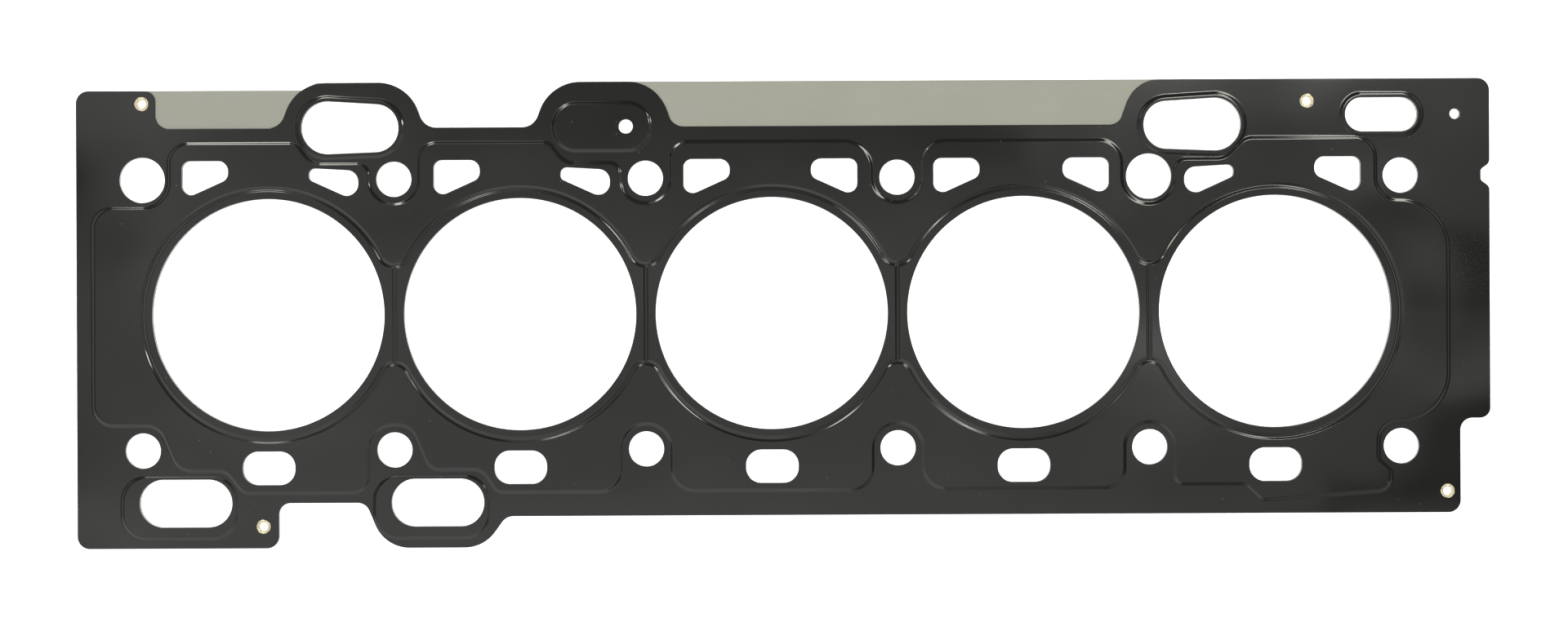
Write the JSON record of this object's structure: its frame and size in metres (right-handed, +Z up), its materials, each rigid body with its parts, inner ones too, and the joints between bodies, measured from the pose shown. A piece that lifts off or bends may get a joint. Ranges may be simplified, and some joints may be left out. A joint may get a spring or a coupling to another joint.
{
  "type": "cylinder head gasket",
  "caption": "Layered steel head gasket: two black coated bead sheets over a bare distance sheet, held together by small eyelets, with cylinder, bolt, water and oil openings.",
  "frame": {"origin": "centre of the middle cylinder opening, on the lowest face", "axes": "+X along the cylinders, +Y towards the edge with the raised bosses, +Z up through the sheets, out of the eyelets' rolled heads"},
  "size_m": [0.4943, 0.1628, 0.0018],
  "materials": {
    "upper_coating": "satin black elastomer coat",
    "bare_steel": "rolled, slightly dull",
    "lower_coating": "satin black elastomer coat",
    "eyelet_brass": "rolled, half bright"
  },
  "bodies": {
    "root": {"upper_bead_layer": "upper_coating", "distance_layer": "bare_steel", "lower_bead_layer": "lower_coating", "eyelet_upper_left": "eyelet_brass", "eyelet_upper_right": "eyelet_brass", "eyelet_lower_right": "eyelet_brass", "eyelet_lower_left": "eyelet_brass"}
  },
  "joints": []
}
